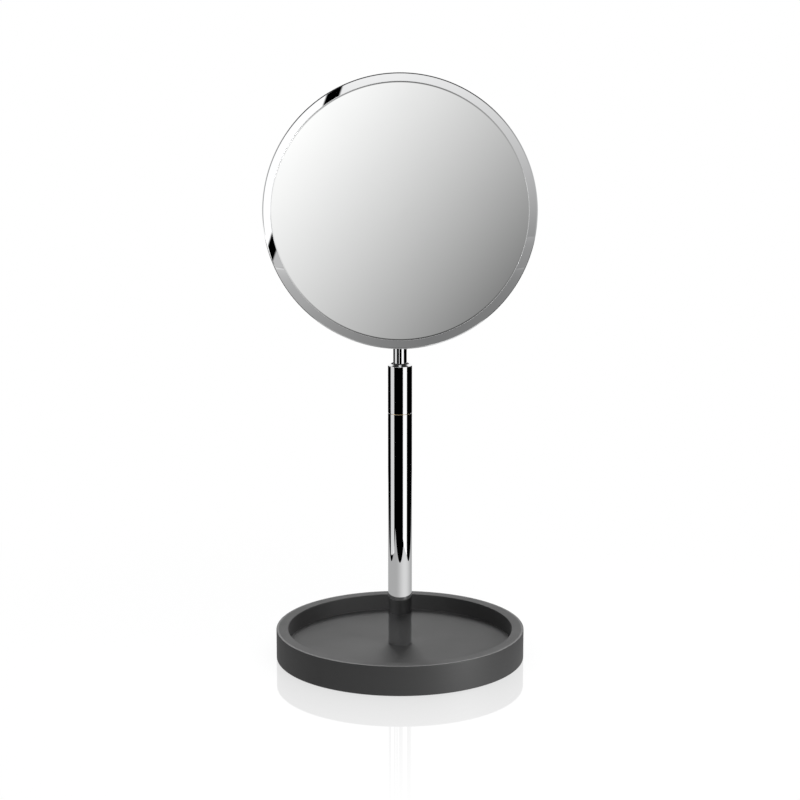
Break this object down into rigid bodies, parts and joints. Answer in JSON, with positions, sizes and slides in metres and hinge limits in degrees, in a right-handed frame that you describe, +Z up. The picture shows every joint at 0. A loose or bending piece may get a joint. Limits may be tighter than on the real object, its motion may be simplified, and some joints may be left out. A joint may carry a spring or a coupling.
{
  "type": "vanity mirror",
  "caption": "Round tilting vanity mirror in a bevelled chrome frame, on a height-adjustable chrome stem that stands in a dark tray-shaped base.",
  "frame": {"origin": "centre of the underside, on the surface that the stand rests on", "axes": "+Z up along the stem, the mirror looks towards -Y, +X to the viewer's right"},
  "size_m": [0.1688, 0.16, 0.3769],
  "materials": {
    "resin_black": "satin moulded resin, very fine matt grain",
    "steel_plain": "zinc-plated steel, turned or stamped",
    "brass_turned": "turned brass",
    "chrome_polished": "bright polished chrome plate",
    "nylon_black": "black nylon",
    "rubber_black": "soft black rubber",
    "rubber_grey": "soft grey rubber",
    "mirror_silvered": "silvered glass, polished"
  },
  "bodies": {
    "stand": {"base_tray": "resin_black", "base_weight": "steel_plain", "non_slip_disc": "rubber_black", "base_screw": "steel_plain", "base_washer": "steel_plain", "foot_plug": "brass_turned", "lower_tube": "chrome_polished", "tube_connector": "brass_turned", "clamp_collet": "nylon_black"},
    "sleeve": {"clamp_sleeve": "chrome_polished", "wiper_ring": "rubber_black"},
    "guide": {"rod_guide": "nylon_black"},
    "mast": {"rod": "chrome_polished", "rod_end_washer": "steel_plain", "rod_end_screw": "steel_plain", "rod_knuckle": "chrome_polished"},
    "head": {"friction_washers": "nylon_black", "hinge_bracket": "chrome_polished", "pivot_screw": "chrome_polished", "spring_washer": "steel_plain", "pivot_nut": "chrome_polished", "back_shell": "chrome_polished", "mounting_plate": "steel_plain", "bracket_screws": "steel_plain", "bezel_ring": "chrome_polished", "mirror_glass": "mirror_silvered", "glass_gasket": "rubber_black", "glass_backing_ring": "rubber_grey"}
  },
  "joints": [
    {"name": "sleeve_turn", "type": "hinge", "parent": "stand", "child": "sleeve", "pos_m": [0, 0, 0.1618], "axis": [0, 0, 1], "range_deg": [0, 180]},
    {"name": "rod_slide", "type": "slide", "parent": "stand", "child": "guide", "axis": [0, 0, 1], "range_m": [-0.077, 0.038]},
    {"name": "mast_swivel", "type": "hinge", "parent": "guide", "child": "mast", "pos_m": [0, 0, 0.1059], "axis": [0, 0, 1], "continuous": true},
    {"name": "head_tilt", "type": "hinge", "parent": "mast", "child": "head", "pos_m": [0, 0, 0.2899], "axis": [1, 0, 0], "range_deg": [-52, 15]}
  ]
}
